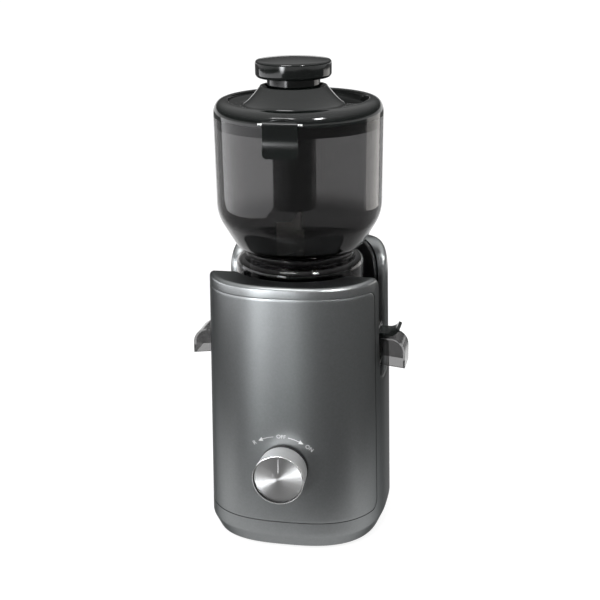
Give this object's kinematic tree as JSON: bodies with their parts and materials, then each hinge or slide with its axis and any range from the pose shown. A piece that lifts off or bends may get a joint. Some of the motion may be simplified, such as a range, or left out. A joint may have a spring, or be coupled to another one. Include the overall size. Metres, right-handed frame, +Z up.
{
  "type": "cold press juicer",
  "caption": "Upright slow juicer: motor base with an open cradle and dial, lift-out smoked drum with spouts and auger, clear hopper jar with a hinged lid and pusher.",
  "frame": {"origin": "the drum and auger axis where it meets the table, midway between the four feet", "axes": "+Z up along the auger axis, -Y towards the dial at the front, +X to the juice spout"},
  "size_m": [0.198, 0.1956, 0.434],
  "materials": {
    "housing": "satin metallic grey paint",
    "liner": "satin black",
    "black_gloss": "gloss black",
    "black_matte": "matte black",
    "auger_black": "satin black",
    "wing_grey": "satin warm grey",
    "smoke_clear": "clear, smoke tinted",
    "gear_plastic": "natural white",
    "board": "green solder mask",
    "rubber_black": "matte",
    "rubber_grey": "matte silicone",
    "steel": "satin",
    "core": "laminated",
    "magnet": "matte ferrite",
    "copper": "lacquered wire",
    "dial_metal": "spun face, satin side"
  },
  "bodies": {
    "base": {"housing_front": "housing", "housing_rear": "housing", "front_panel": "housing", "bowl_cradle": "liner", "base_cover": "black_matte", "rubber_feet": "rubber_black", "cover_screws": "steel", "motor_can": "steel", "motor_magnets": "magnet", "motor_end_bell": "black_matte", "motor_brushes": "copper", "motor_bearings": "steel", "motor_pad": "rubber_black", "motor_screws": "steel", "gearbox_case": "black_matte", "gearbox_cover": "black_matte", "gearbox_screws": "steel", "cluster_axle": "steel", "output_bearing": "steel", "shaft_seal": "rubber_grey", "control_board": "board", "board_capacitor": "black_matte", "rotary_switch": "black_matte", "interlock_switch": "black_matte", "cord_gland": "rubber_black", "dial_ring": "black_matte"},
    "rotor": {"armature_core": "core", "armature_winding": "copper", "commutator": "copper", "motor_shaft": "steel", "motor_pinion": "steel", "cooling_fan": "black_matte"},
    "cluster": {"cluster_gear": "gear_plastic"},
    "drive": {"output_gear": "steel", "output_shaft": "steel"},
    "dial": {"dial_knob": "dial_metal", "dial_face": "dial_metal", "dial_pointer": "black_matte", "switch_shaft": "steel"},
    "drum": {"drum_bowl": "smoke_clear", "drum_seal": "rubber_grey", "pulp_seal": "rubber_grey", "strainer_frame": "black_matte", "strainer_mesh": "steel", "gate_pin": "steel"},
    "gate": {"gate_lever": "black_gloss", "gate_plug": "rubber_grey"},
    "auger": {"auger_screw": "auger_black", "auger_socket": "steel", "feed_wing": "wing_grey"},
    "jar": {"hopper_jar": "smoke_clear", "jar_lock_ring": "black_gloss", "jar_gasket": "rubber_grey", "lid_hinge_pin": "steel"},
    "lid": {"lid_cover": "black_gloss", "lid_seal": "rubber_black", "latch_pin": "steel"},
    "latch": {"lid_latch": "black_gloss"},
    "pusher": {"pusher_stem": "black_gloss", "pusher_cap": "black_gloss"}
  },
  "joints": [
    {"name": "rotor_spin", "type": "hinge", "parent": "base", "child": "rotor", "pos_m": [0, 0, 0.045], "axis": [0, 0, 1], "continuous": true},
    {"name": "cluster_spin", "type": "hinge", "parent": "base", "child": "cluster", "pos_m": [0, 0.035, 0.085], "axis": [0, 0, 1], "continuous": true},
    {"name": "drive_spin", "type": "hinge", "parent": "base", "child": "drive", "pos_m": [0, 0, 0.12], "axis": [0, 0, 1], "continuous": true},
    {"name": "dial_turn", "type": "hinge", "parent": "base", "child": "dial", "pos_m": [0, -0.1, 0.0795], "axis": [0, -1, 0], "range_deg": [-45, 45]},
    {"name": "drum_lift", "type": "slide", "parent": "base", "child": "drum", "axis": [0, 0, 1], "range_m": [0, 0.14]},
    {"name": "gate_open", "type": "hinge", "parent": "drum", "child": "gate", "pos_m": [0.071, -0.003, 0.1877], "axis": [0, -1, 0], "range_deg": [0, 30]},
    {"name": "auger_spin", "type": "hinge", "parent": "drum", "child": "auger", "pos_m": [0, 0, 0.2], "axis": [0, 0, 1], "continuous": true},
    {"name": "jar_lift", "type": "slide", "parent": "drum", "child": "jar", "axis": [0, 0, 1], "range_m": [0, 0.09]},
    {"name": "lid_open", "type": "hinge", "parent": "jar", "child": "lid", "pos_m": [0, 0.0796, 0.384], "axis": [-1, 0, 0], "range_deg": [0, 100]},
    {"name": "latch_open", "type": "hinge", "parent": "lid", "child": "latch", "pos_m": [0, -0.0766, 0.385], "axis": [-1, 0, 0], "range_deg": [0, 30]},
    {"name": "pusher_lift", "type": "slide", "parent": "lid", "child": "pusher", "axis": [0, 0, 1], "range_m": [0, 0.12]}
  ],
  "couplings": [
    {"joint": "cluster_spin", "follows": "rotor_spin", "ratio": -0.2069},
    {"joint": "drive_spin", "follows": "rotor_spin", "ratio": 0.042806},
    {"joint": "auger_spin", "follows": "rotor_spin", "ratio": 0.042806}
  ]
}
